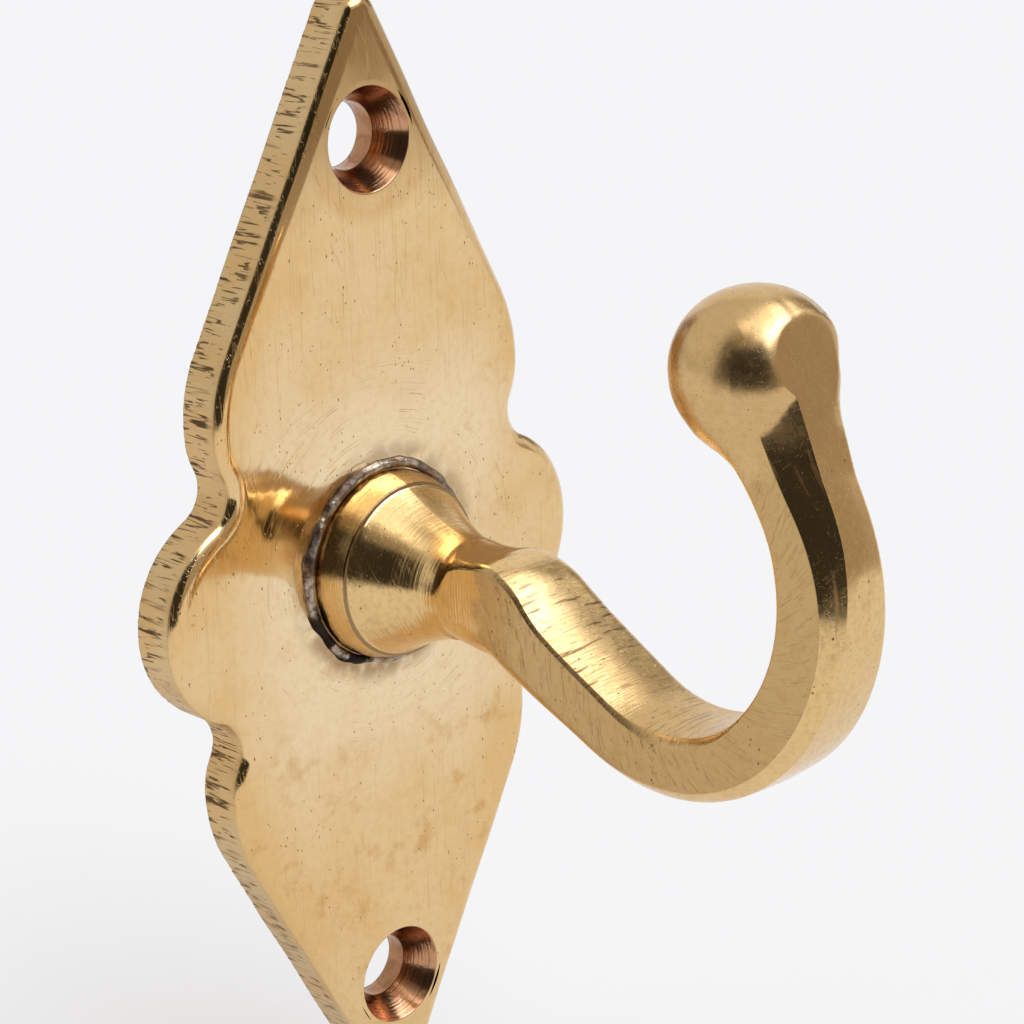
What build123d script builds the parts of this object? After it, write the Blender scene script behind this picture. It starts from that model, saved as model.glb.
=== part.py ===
"""Cast brass wall hook: a pointed back plate with two screw holes, and a hook with a ball end
that is brazed to its middle. Millimetres and degrees.

The origin is midway between the screw holes at the plate's back face, which lies on the wall.
+Z is up, the hook reaches out from the wall along -Y, and +X is to the right for someone who
faces the wall.
"""

import os
from math import acos, atan2, degrees, hypot

from build123d import *

os.makedirs("parts", exist_ok=True)

# Back plate
plate_thickness = 3.8
plate_height = 78.6
tip_radius = 1.5
lobe_radius = 7.6  # the round lobe at each side
lobe_offset = 11.0  # from the plate's middle line to the centre of a lobe
shoulder_half_width = 13.9
shoulder_height = 12.6  # where the shoulder is widest, above and below the middle
shoulder_radius = 11.0
notch_depth = 0.9  # how far the notch cuts in from the shoulder's half width
notch_drop = 3.7  # from the shoulder's height to the notch's
rim_bevel = 0.7  # filed bevel round the front rim
back_bevel = 0.25  # small bevel on the rim at the wall

# Screw holes, an easy fit for a No. 6 countersunk wood screw
screw_spacing = 60.0
screw_hole_d = 4.5
screw_head_d = 7.0
countersink_angle = 60.0

# Foot and bell of the hook, turned about a line along Y
foot_height = 1.1  # above the plate's middle
foot_d = 13.0
foot_land = 0.9  # straight part of the foot's side
foot_length = 2.5
foot_front_d = 12.0
bell_step = 0.15  # fine line where the bell starts
bell_length = 6.0
neck_d = 7.0
neck_overlap = 1.8  # the arm starts this far inside the bell, and the bell ends as far inside the arm
neck_taper = 0.5  # how much thinner each of them is at its hidden end

# Spigot behind the foot, peened over in a countersink at the plate's back
spigot_d = 5.0
peen_d = 6.6
spigot_clearance = 0.05

# Centre line of the arm, in the plane X = 0
neck_reach = 3.8  # from the end of the bell to the bend of the knuckle
knuckle_bend_radius = 5.0
arm_slope = 28.0  # fall of the straight part of the arm
arm_run = 8.9
throat_radius = 11.0  # lower part of the hook's bend
throat_turn = 77.0
rise_radius = 12.0  # upper part of the hook's bend
lip_lean = 32.0  # how far the end leans back towards the wall, from upright
lip_run = 8.7  # straight part that ends at the ball's centre

# Section of the arm: width is along X, depth is in the plane of the bend
knuckle_width = 7.3
knuckle_depth = 6.9
arm_width = 7.2
arm_depth = 4.5
lip_width = 5.8
lip_depth = 4.5
neck_edge_radius = 2.8  # all four edges, between the round neck and the knuckle
throat_edge_radius = 0.9  # edges towards the throat
outer_edge_radius = 1.3  # edges on the outside of the bend, along the arm
lip_edge_radius = 1.7  # the same edges where they reach the lip
facet_cuts = (0.586, 0.215)  # shares of the radius that turn an edge into three facets on its arc
bend_sections = 3  # sections along each of the two arcs of the bend

# Ball, and the flare that leads into it from the lip
ball_d = 10.0
flare_length = 5.4  # from where the arm starts to flare to the ball's centre
flare_start_depth = 5.0

# Braze round the foot
braze_width = 1.0
braze_height = 0.7
braze_gap = 0.05

front_plane = Plane.XZ.offset(plate_thickness)
foot_plane = Plane(origin=(0, 0, foot_height), x_dir=(0, 1, 0), z_dir=(1, 0, 0))
foot_axis = Axis((0, 0, foot_height), (0, 1, 0))
peen_depth = (peen_d - spigot_d) / 2
foot_front = -plate_thickness - foot_length
bell_end = foot_front - bell_length


def plate_outline():
    """A quarter of the outline, from the tip of the right lobe up to the plate's tip."""
    notch_x = shoulder_half_width - notch_depth
    notch_z = shoulder_height - notch_drop
    lobe_to_notch = notch_x - lobe_offset
    notch_radius = (lobe_to_notch**2 + notch_z**2 - lobe_radius**2) / (
        2 * (lobe_radius - lobe_to_notch)
    )
    notch_centre = (notch_x + notch_radius, notch_z)
    lobe_turn = degrees(atan2(notch_z, notch_centre[0] - lobe_offset))

    # the arc that leaves the notch and is upright at the shoulder
    overhang = notch_radius - notch_depth
    lead_radius = (overhang**2 + notch_drop**2 - notch_radius**2) / (2 * notch_depth)
    lead_turn = degrees(atan2(notch_drop, overhang + lead_radius))
    lead_centre = (shoulder_half_width - lead_radius, shoulder_height)

    # the straight edge touches the shoulder's arc and the tip's arc
    shoulder_centre = (shoulder_half_width - shoulder_radius, shoulder_height)
    tip_centre = (0, plate_height / 2 - tip_radius)
    rise = tip_centre[1] - shoulder_height
    span = hypot(shoulder_centre[0], rise)
    edge_lean = degrees(
        atan2(rise, -shoulder_centre[0]) - acos((shoulder_radius - tip_radius) / span)
    )

    CenterArc((lobe_offset, 0), lobe_radius, 0, lobe_turn)
    CenterArc(notch_centre, notch_radius, 180 + lobe_turn, -(lobe_turn + lead_turn))
    CenterArc(lead_centre, lead_radius, -lead_turn, lead_turn)
    shoulder = CenterArc(shoulder_centre, shoulder_radius, 0, edge_lean)
    tip = CenterArc(tip_centre, tip_radius, edge_lean, 90 - edge_lean)
    Line(shoulder @ 1, tip @ 0)


with BuildPart() as back_plate:
    with BuildSketch(Plane.XZ):
        with BuildLine():
            plate_outline()
            mirror(about=Plane.XZ)
            mirror(about=Plane.YZ)
        make_face()
    extrude(amount=plate_thickness)
    front_face, back_face = back_plate.faces().filter_by(Axis.Y).sort_by(Axis.Y)
    chamfer(front_face.outer_wire().edges(), rim_bevel)
    chamfer(back_face.outer_wire().edges(), back_bevel)
    with Locations(front_plane):
        with GridLocations(0, screw_spacing, 1, 2):
            CounterSinkHole(
                radius=screw_hole_d / 2,
                counter_sink_radius=screw_head_d / 2,
                counter_sink_angle=countersink_angle,
            )
    # the spigot's hole, countersunk from the back for the peened end
    with BuildSketch(foot_plane):
        with BuildLine():
            Polyline(
                (0, 0),
                (0, peen_d / 2),
                (-peen_depth, spigot_d / 2),
                (-plate_thickness, spigot_d / 2),
                (-plate_thickness, 0),
                close=True,
            )
        make_face()
    revolve(axis=foot_axis, mode=Mode.SUBTRACT)

# Centre line of the arm, from the bell to the ball's centre
with BuildLine(foot_plane) as centre_line:
    neck = Line((bell_end, 0), (bell_end - neck_reach, 0))
    knuckle = JernArc(neck @ 1, neck % 1, knuckle_bend_radius, arm_slope)
    arm = Line(knuckle @ 1, (knuckle @ 1) + (knuckle % 1) * arm_run)
    throat = JernArc(arm @ 1, arm % 1, throat_radius, -throat_turn)
    rise_turn = 90 + arm_slope + lip_lean - throat_turn
    rise = JernArc(throat @ 1, throat % 1, rise_radius, -rise_turn)
    lip = Line(rise @ 1, (rise @ 1) + (rise % 1) * lip_run)


def arm_section(path, share, width, depth, throat_edge, outer_edge):
    """A section of the arm, square to the path at a share of its length. Its local Y points into
    the bend, and the edges on that side have their own radius. A first cut takes each corner to
    45 degrees, and a second one eases what the first one left."""
    with BuildSketch(Plane(path @ share, x_dir=(1, 0, 0), z_dir=path % share)) as section:
        Rectangle(width, depth)
        for cut in facet_cuts:
            half = len(section.vertices()) // 2
            chamfer(section.vertices().sort_by(Axis.Y)[-half:], cut * throat_edge)
            chamfer(section.vertices().sort_by(Axis.Y)[:half], cut * outer_edge)
    return section.sketch


def round_section(path, share, diameter, roundness=0.48):
    """A round or nearly round section, of sixteen sides as the other sections have: at a
    roundness of 0.5 they would all be equal."""
    corner = roundness * diameter
    return arm_section(path, share, diameter, diameter, corner, corner)


def between(start, end, share):
    """The value a share of the way from start to end."""
    return start + share * (end - start)


def flare_share(share):
    """The place on the lip that is a share of the flare away from its start."""
    return 1 - (1 - share) * flare_length / lip_run


slim_depth = between(knuckle_depth, arm_depth, 0.7)
arm_sections = [
    round_section(neck, -neck_overlap / neck_reach, neck_d - 2 * neck_taper),
    round_section(neck, 0, neck_d - 0.4 * neck_taper),
    arm_section(neck, 0.6, between(neck_d, knuckle_width, 0.5), neck_d, *[neck_edge_radius] * 2),
    arm_section(knuckle, 0, knuckle_width, knuckle_depth, *[0.75 * neck_edge_radius] * 2),
    arm_section(
        knuckle, 0.7, knuckle_width, knuckle_depth, 1.5 * throat_edge_radius, 1.3 * outer_edge_radius
    ),
    arm_section(arm, 0.15, knuckle_width, slim_depth, throat_edge_radius, outer_edge_radius),
    arm_section(arm, 1, arm_width, arm_depth, throat_edge_radius, outer_edge_radius),
]
for path, bend_before in ((throat, 0), (rise, throat_turn)):
    for step in range(1, bend_sections + 1):
        share = step / bend_sections
        turned = bend_before + share * (throat_turn if path is throat else rise_turn)
        done = turned / (throat_turn + rise_turn)
        arm_sections.append(
            arm_section(
                path,
                share,
                between(arm_width, lip_width, done),
                between(arm_depth, lip_depth, done),
                throat_edge_radius,
                between(outer_edge_radius, lip_edge_radius, done),
            )
        )
arm_sections += [
    arm_section(lip, flare_share(0), lip_width, flare_start_depth, *[lip_edge_radius] * 2),
    round_section(lip, flare_share(0.22), 0.6 * ball_d, 0.37),
    round_section(lip, flare_share(0.7), 0.86 * ball_d),
]

with BuildPart() as hook_arm:
    with BuildSketch(foot_plane):
        with BuildLine():
            foot_side = Polyline(
                (0, 0),
                (0, peen_d / 2 - spigot_clearance),
                (-peen_depth, spigot_d / 2 - spigot_clearance),
                (-plate_thickness, spigot_d / 2 - spigot_clearance),
                (-plate_thickness, foot_d / 2),
                (-plate_thickness - foot_land, foot_d / 2),
                (foot_front, foot_front_d / 2),
                (foot_front, foot_front_d / 2 - bell_step),
            )
            neck_start = (bell_end, neck_d / 2)
            TangentArc(neck_start, foot_side @ 1, tangent=(1, 0))
            Polyline(
                neck_start,
                (bell_end - neck_overlap, neck_d / 2 - neck_taper),
                (bell_end - neck_overlap, 0),
                (0, 0),
            )
        make_face()
    revolve(axis=foot_axis)
    loft(sections=arm_sections)
    with Locations(lip @ 1):
        Sphere(ball_d / 2)

with BuildPart() as solder_ring:
    with BuildSketch(foot_plane):
        with BuildLine():
            ring_inner = foot_d / 2 + braze_gap
            seat = Line((-plate_thickness, ring_inner + braze_width), (-plate_thickness, ring_inner))
            side = Line(seat @ 1, (-plate_thickness - braze_height, ring_inner))
            Polyline(
                side @ 1,
                (-plate_thickness - 0.7 * braze_height, ring_inner + 0.6 * braze_width),
                seat @ 0,
            )
        make_face()
    revolve(axis=foot_axis)

for name, piece in (
    ("back_plate", back_plate),
    ("hook_arm", hook_arm),
    ("solder_ring", solder_ring),
):
    piece.part.label = name
    export_step(piece.part, f"parts/{name}.step")
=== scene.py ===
import math
import bmesh
import bpy
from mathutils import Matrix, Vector, noise


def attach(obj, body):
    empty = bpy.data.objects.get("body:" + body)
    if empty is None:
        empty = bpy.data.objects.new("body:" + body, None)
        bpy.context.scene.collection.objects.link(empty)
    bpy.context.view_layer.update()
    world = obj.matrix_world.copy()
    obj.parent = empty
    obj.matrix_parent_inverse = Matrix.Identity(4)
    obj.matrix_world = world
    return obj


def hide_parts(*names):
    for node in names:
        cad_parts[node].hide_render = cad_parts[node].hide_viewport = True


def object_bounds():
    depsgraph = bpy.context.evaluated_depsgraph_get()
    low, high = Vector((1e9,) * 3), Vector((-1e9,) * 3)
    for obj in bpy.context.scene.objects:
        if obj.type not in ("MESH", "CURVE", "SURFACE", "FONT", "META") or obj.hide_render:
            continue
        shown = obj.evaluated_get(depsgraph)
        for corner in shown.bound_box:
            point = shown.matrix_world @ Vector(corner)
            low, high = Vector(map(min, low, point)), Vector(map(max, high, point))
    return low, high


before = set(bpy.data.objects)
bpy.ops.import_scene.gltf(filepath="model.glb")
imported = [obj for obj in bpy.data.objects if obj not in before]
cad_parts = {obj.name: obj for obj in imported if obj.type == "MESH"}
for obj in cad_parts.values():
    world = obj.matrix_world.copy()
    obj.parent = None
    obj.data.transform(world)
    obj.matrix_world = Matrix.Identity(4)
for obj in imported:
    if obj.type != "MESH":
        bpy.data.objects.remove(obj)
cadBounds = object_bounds()
mm = 0.001

camera = {
    "focalLength": 102.06,  # on a 36 mm wide sensor
    "distance": 210.4,
    "azimuth": -44.70,  # from the front, towards -X
    "elevation": 18.30,
    "roll": -1.358,
    "target": (15.97, 0.0, -0.20),
}


def direction(azimuth, elevation):
    azimuth, elevation = math.radians(azimuth), math.radians(elevation)
    return Vector((math.sin(azimuth) * math.cos(elevation), -math.cos(azimuth) * math.cos(elevation),
                   math.sin(elevation)))


def buildCamera():
    back = direction(camera["azimuth"], camera["elevation"])
    place = (Vector(camera["target"]) + camera["distance"] * back) * mm
    bpy.ops.object.camera_add(location=place, rotation=back.to_track_quat("Z", "Y").to_euler())
    eye = bpy.context.object
    eye.name = "mainCamera"
    eye.rotation_euler.rotate_axis("Z", math.radians(camera["roll"]))
    eye.data.sensor_width = 36
    eye.data.lens = camera["focalLength"]
    eye.data.clip_start = 0.01
    bpy.context.scene.camera = eye


buildCamera()
print("camera set")


# ---- growing a piece ring by ring ----

def startPiece(name, ring):
    # a circle with one vertex for each point of the first ring, left in edit mode
    bpy.ops.object.select_all(action="DESELECT")
    bpy.ops.mesh.primitive_circle_add(vertices=len(ring), radius=ring[0].length * mm)
    piece = bpy.context.object
    piece.name = name
    piece.data.name = name
    bpy.ops.object.mode_set(mode="EDIT")
    placeRing(piece, ring)
    return piece


def placeRing(piece, ring):
    # the selected ring goes to these points, in the order in which it was made
    mesh = bmesh.from_edit_mesh(piece.data)
    chosen = [vertex for vertex in mesh.verts if vertex.select]
    for vertex, point in zip(chosen, ring):
        vertex.co = point * mm
    bmesh.update_edit_mesh(piece.data)


def growRings(piece, rings):
    for ring in rings:
        bpy.ops.mesh.extrude_region_move()
        placeRing(piece, ring)


def closePole(piece, point, count):
    # the selected ring of this many points is drawn to one point
    growRings(piece, [[point] * count])
    bpy.ops.mesh.merge(type="CENTER")


def selectEdges(piece, wanted):
    bpy.ops.mesh.select_all(action="DESELECT")
    mesh = bmesh.from_edit_mesh(piece.data)
    mesh.select_mode = {"EDGE"}
    for edge in mesh.edges:
        if wanted(edge):
            edge.select = True
    mesh.select_flush_mode()
    bmesh.update_edit_mesh(piece.data)


def storeVectors(piece, name, vectors):
    # one vector for each ring vertex, for the materials: "flow" is its place along its own surface in
    # millimetres, and "faces" says which of the arm's faces it is on
    values = [number for vector in vectors for number in vector]
    values += [0.0] * (3 * len(piece.data.vertices) - len(values))
    layer = piece.data.attributes.new(name, "FLOAT_VECTOR", "POINT")
    layer.data.foreach_set("vector", values)


def finishPiece(piece, node, materials, flow=()):
    bpy.ops.mesh.select_all(action="SELECT")
    bpy.ops.mesh.normals_make_consistent(inside=False)
    bpy.ops.object.mode_set(mode="OBJECT")
    bpy.ops.object.shade_smooth()
    storeVectors(piece, "flow", flow)
    for material in materials:
        piece.data.materials.append(material)
    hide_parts(node)
    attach(piece, "root")
    print(piece.name, "has", len(piece.data.polygons), "faces")


def between(start, end, share):
    return start + (end - start) * share


def rise(low, high, value):
    # 0 below low, 1 above high, and smooth between them
    share = min(1, max(0, (value - low) / (high - low)))
    return share * share * (3 - 2 * share)


def along(stations, place):
    # a smooth line through (place, value) stations
    if place <= stations[0][0]:
        return stations[0][1]
    for count in range(1, len(stations)):
        if place <= stations[count][0]:
            break
    else:
        return stations[-1][1]
    slopes = []
    for middle in (count - 1, count):
        before, after = max(0, middle - 1), min(len(stations) - 1, middle + 1)
        slopes.append((stations[after][1] - stations[before][1]) / (stations[after][0] - stations[before][0]))
    (start, low), (end, high) = stations[count - 1], stations[count]
    gap = end - start
    share = (place - start) / gap
    return ((1 + 2 * share) * (1 - share) ** 2 * low + share * (1 - share) ** 2 * gap * slopes[0]
            + share ** 2 * (3 - 2 * share) * high - share ** 2 * (1 - share) * gap * slopes[1])


# ---- joining shader nodes ----

def addNode(tree, kind, inputs=None, **settings):
    # a node whose settings and inputs are given; an input is a value or another node's output
    node = tree.nodes.new(kind)
    for name, value in settings.items():
        setattr(node, name, value)
    for name, value in (inputs or {}).items():
        if isinstance(value, bpy.types.NodeSocket):
            tree.links.new(value, node.inputs[name])
        else:
            node.inputs[name].default_value = value
    return node


def maths(tree, operation, *values):
    return addNode(tree, "ShaderNodeMath", dict(enumerate(values)), operation=operation).outputs[0]


def times(tree, *values):
    return maths(tree, "MULTIPLY", *values)


def stepUp(tree, value, low, high):
    # 0 below low and 1 above high, or the other way round where low is the larger
    node = addNode(tree, "ShaderNodeMapRange", {"Value": value, "From Min": low, "From Max": high},
                   interpolation_type="SMOOTHSTEP")
    return node.outputs["Result"]


def band(tree, value, low, high, softness):
    return times(tree, stepUp(tree, value, low - softness, low + softness),
                 stepUp(tree, value, high + softness, high - softness))


def mixColours(tree, share, first, second, blend="MIX"):
    node = addNode(tree, "ShaderNodeMix", data_type="RGBA", blend_type=blend)
    for name, value in (("Factor", share), ("A", first), ("B", second)):
        if isinstance(value, bpy.types.NodeSocket):
            tree.links.new(value, node.inputs[name])
        else:
            node.inputs[name].default_value = value
    return node.outputs["Result"]


def tinted(tree, colour, shade, mask, share):
    # the colour turned towards a shade where the mask is, by at most the share
    return mixColours(tree, times(tree, mask, share), colour, shade)


# ---- back plate ----

plate = {
    "thickness": 3.8,
    "height": 78.6,
    "tipRadius": 1.5,
    "lobeRadius": 7.6,
    "lobeOffset": 11.0,
    "shoulderHalfWidth": 13.9,
    "shoulderHeight": 12.6,
    "shoulderRadius": 11.0,
    "notchDepth": 0.9,
    "notchDrop": 3.7,
    "rightSideShare": 0.97,  # the right half came out a little narrower
    "pointSpacing": 0.125,
    "backBevel": 0.25,
    "wallRows": 10,
    "rimBevel": 0.5,
    "rimRoll": 0.75,
    "fileMarkDepth": 0.05,
    "edgeWander": 0.08,
    "screwSpacing": 60.0,
    "screwHoleRadius": 2.25,
    "screwHeadRadius": 3.5,
    "sinkDepth": 2.165,
    "screwLip": 0.1,
    "spigotRadius": 2.5,
    "peenRadius": 3.3,
    "spigotHeight": 1.1,
}


def arcPoints(centre, radius, start, sweep, outward):
    # evenly spaced points on an arc, each with the direction that points out of the plate
    count = max(2, round(abs(math.radians(sweep)) * radius / plate["pointSpacing"]))
    points = []
    for step in range(count):
        angle = math.radians(start + sweep * step / count)
        spoke = Vector((math.cos(angle), 0, math.sin(angle)))
        points.append((Vector((centre[0], 0, centre[1])) + spoke * radius, spoke * outward))
    return points


def plateQuarter():
    # from the tip of the right lobe up to the plate's top
    notchX = plate["shoulderHalfWidth"] - plate["notchDepth"]
    notchZ = plate["shoulderHeight"] - plate["notchDrop"]
    reach = notchX - plate["lobeOffset"]
    notchRadius = (reach ** 2 + notchZ ** 2 - plate["lobeRadius"] ** 2) / (2 * (plate["lobeRadius"] - reach))
    notchCentre = (notchX + notchRadius, notchZ)
    lobeTurn = math.degrees(math.atan2(notchZ, notchCentre[0] - plate["lobeOffset"]))
    overhang = notchRadius - plate["notchDepth"]
    drop = plate["notchDrop"]
    leadRadius = (overhang ** 2 + drop ** 2 - notchRadius ** 2) / (2 * plate["notchDepth"])
    leadTurn = math.degrees(math.atan2(drop, overhang + leadRadius))
    leadCentre = (plate["shoulderHalfWidth"] - leadRadius, plate["shoulderHeight"])
    shoulderCentre = (plate["shoulderHalfWidth"] - plate["shoulderRadius"], plate["shoulderHeight"])
    tipCentre = (0, plate["height"] / 2 - plate["tipRadius"])
    climb = tipCentre[1] - shoulderCentre[1]
    span = math.hypot(shoulderCentre[0], climb)
    lean = math.degrees(math.atan2(climb, -shoulderCentre[0])
                        - math.acos((plate["shoulderRadius"] - plate["tipRadius"]) / span))

    points = arcPoints((plate["lobeOffset"], 0), plate["lobeRadius"], 0, lobeTurn, 1)
    points += arcPoints(notchCentre, notchRadius, 180 + lobeTurn, -(lobeTurn + leadTurn), -1)
    points += arcPoints(leadCentre, leadRadius, -leadTurn, leadTurn, 1)
    points += arcPoints(shoulderCentre, plate["shoulderRadius"], 0, lean, 1)
    tip = arcPoints(tipCentre, plate["tipRadius"], lean, 90 - lean, 1)
    outward = Vector((math.cos(math.radians(lean)), 0, math.sin(math.radians(lean))))
    low = Vector((shoulderCentre[0], 0, shoulderCentre[1])) + outward * plate["shoulderRadius"]
    high = tip[0][0]
    count = round((high - low).length / plate["pointSpacing"])
    points += [(low.lerp(high, step / count), outward) for step in range(count)]
    return points + tip + [(Vector((0, 0, plate["height"] / 2)), Vector((0, 0, 1)))]


def plateEdge():
    quarter = plateQuarter()
    topLeft = [(Vector((-point.x, 0, point.z)), Vector((-out.x, 0, out.z))) for point, out in quarter[-2::-1]]
    upper = quarter + topLeft
    lower = [(Vector((point.x, 0, -point.z)), Vector((out.x, 0, -out.z))) for point, out in upper[-2:0:-1]]
    edge = []
    for point, out in upper + lower:
        narrowing = plate["rightSideShare"] if point.x > 0 else 1
        edge.append((Vector((point.x * narrowing, 0, point.z)), out))
    return edge


def rimPlaces(edge):
    # how far each point is along the rim, as a place on a circle of the same length, so that it closes
    travelled = [0.0]
    for count in range(1, len(edge) + 1):
        travelled.append(travelled[-1] + (edge[count % len(edge)][0] - edge[count - 1][0]).length)
    radius = travelled[-1] / (2 * math.pi)
    return [(radius * math.cos(way / radius), radius * math.sin(way / radius)) for way in travelled[:-1]]


def plateRing(edge, places, inset, depth, roughness):
    # the outline moved in by the inset at a depth from the wall, with file marks across it
    ring = []
    for (point, out), place in zip(edge, places):
        wander = plate["edgeWander"] * (noise.noise(point * 0.16 + Vector((3.1, 0, 7.7))) - 1)
        mark = noise.noise(Vector((place[0] * 2.2, place[1] * 2.2, depth * 0.3)))
        mark += 0.6 * noise.noise(Vector((place[0] * 4.3, place[1] * 4.3, depth * 0.5 + 9)))
        patch = noise.noise(Vector((place[0] * 0.22, place[1] * 0.22, depth * 0.3)))
        cluster = 0.35 + 0.65 * rise(-0.1, 0.35, patch)
        cut = roughness * plate["fileMarkDepth"] * cluster * (mark + 0.9)
        ring.append(point + out * (wander - inset - cut) + Vector((0, -depth, 0)))
    return ring


def circleRing(centre, radius, depth, count):
    # starts at the top and runs the way that a new circle's vertices do
    ring = []
    for step in range(count):
        angle = 2 * math.pi * step / count
        ring.append(Vector((centre[0] - radius * math.sin(angle), -depth,
                            centre[1] + radius * math.cos(angle))))
    return ring


def addHole(piece, centre, profile, count=96):
    rings = [circleRing(centre, radius, depth, count) for radius, depth in profile]
    bpy.ops.mesh.select_all(action="DESELECT")
    bpy.ops.mesh.primitive_circle_add(vertices=count, radius=mm)
    placeRing(piece, rings[0])
    growRings(piece, rings[1:])


def screwHoleProfile():
    # over a worn lip, down the countersink with fine tool marks, then down the bore
    steps = 24
    front, lip = plate["thickness"], plate["screwLip"]
    profile = [(plate["screwHeadRadius"] + lip + 0.3, front)]
    for step in range(7):
        angle = math.radians(60 * step / 6)
        profile.append((plate["screwHeadRadius"] + lip * (1 - math.sin(angle) / math.sin(math.radians(60))),
                        front - lip * (1 - math.cos(angle))))
    start = profile[-1][1] - 0.01
    for step in range(1, steps + 1):
        share = step / steps
        ridge = 0.01 * math.sin(step * 2.4) * (1 - abs(2 * share - 1))
        radius = between(plate["screwHeadRadius"], plate["screwHoleRadius"], share)
        profile.append((radius + ridge, between(start, front - plate["sinkDepth"], share)))
    for share in (0.05, 0.3, 0.6, 0.92):
        profile.append((plate["screwHoleRadius"], (front - plate["sinkDepth"]) * (1 - share)))
    return profile + [(plate["screwHoleRadius"] + 0.1, 0.0), (plate["screwHoleRadius"] + 0.4, 0.0)]


def plateRows():
    # (inset, depth from the wall, share of the file marks) from the back face over the wall to the front face
    front, back, bevel, roll = plate["thickness"], plate["backBevel"], plate["rimBevel"], plate["rimRoll"]
    wallTop = front - bevel
    rows = [(back + 0.3, 0, 0), (back + 0.05, 0, 0), (back, 0.01, 0.3), (back * 0.2, back * 0.8, 1),
            (0, back + 0.02, 1)]
    for step in range(1, plate["wallRows"]):
        depth = between(back, wallTop - 0.05, step / plate["wallRows"])
        rows.append((0, depth, 1 - 0.85 * rise(0.55, 0.8, depth / wallTop)))
    rows += [(0, wallTop - 0.04, 0.1), (0.03, wallTop + 0.02, 0.1),
             (bevel * 0.5, wallTop + bevel * 0.42, 0.1), (bevel * 0.95, wallTop + bevel * 0.72, 0.08),
             (bevel + 0.06, wallTop + bevel * 0.79, 0.05)]
    drop = front - rows[-1][1]
    for step in range(1, 6):
        share = step / 5
        rows.append((bevel + 0.06 + (roll - 0.06) * share, front - drop * (1 - share) ** 1.9, 0))
    rows.append((bevel + roll + 0.1, front, 0))
    return rows


def buildBackPlate(faceMaterial, sinkMaterial):
    edge = plateEdge()
    front = plate["thickness"]
    places = rimPlaces(edge)
    rings = [plateRing(edge, places, *row) for row in plateRows()]
    flow = [(*place, row[1]) for row in plateRows() for place in places]
    piece = startPiece("backPlate", rings[0])
    growRings(piece, rings[1:])
    for side in (1, -1):
        addHole(piece, (0, side * plate["screwSpacing"] / 2), screwHoleProfile())
    spigot, peen = plate["spigotRadius"], plate["peenRadius"]
    addHole(piece, (0, plate["spigotHeight"]),
            [(spigot + 1, front), (spigot + 0.02, front), (spigot, front - 0.02), (spigot, peen - spigot),
             (peen - 0.02, 0.02), (peen, 0), (peen + 0.4, 0)])
    for depth in (front, 0):
        level = -depth * mm
        selectEdges(piece, lambda edge: edge.is_boundary
                    and all(abs(vertex.co.y - level) < 1e-7 for vertex in edge.verts))
        bpy.ops.mesh.fill(use_beauty=True)
    finishPiece(piece, "back_plate", (faceMaterial, sinkMaterial), flow)
    paintSinks(piece)
    return piece


def paintSinks(piece):
    # the turned countersinks and bores of the screw holes take the second material
    half, reach = plate["screwSpacing"] / 2, plate["screwHeadRadius"] + plate["screwLip"] * 0.6
    for face in piece.data.polygons:
        centre = face.center / mm
        inside = math.hypot(centre.x, abs(centre.z) - half) < reach
        if inside and abs(face.normal.y) < 0.99:
            face.material_index = 1


# ---- hook arm ----

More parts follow.
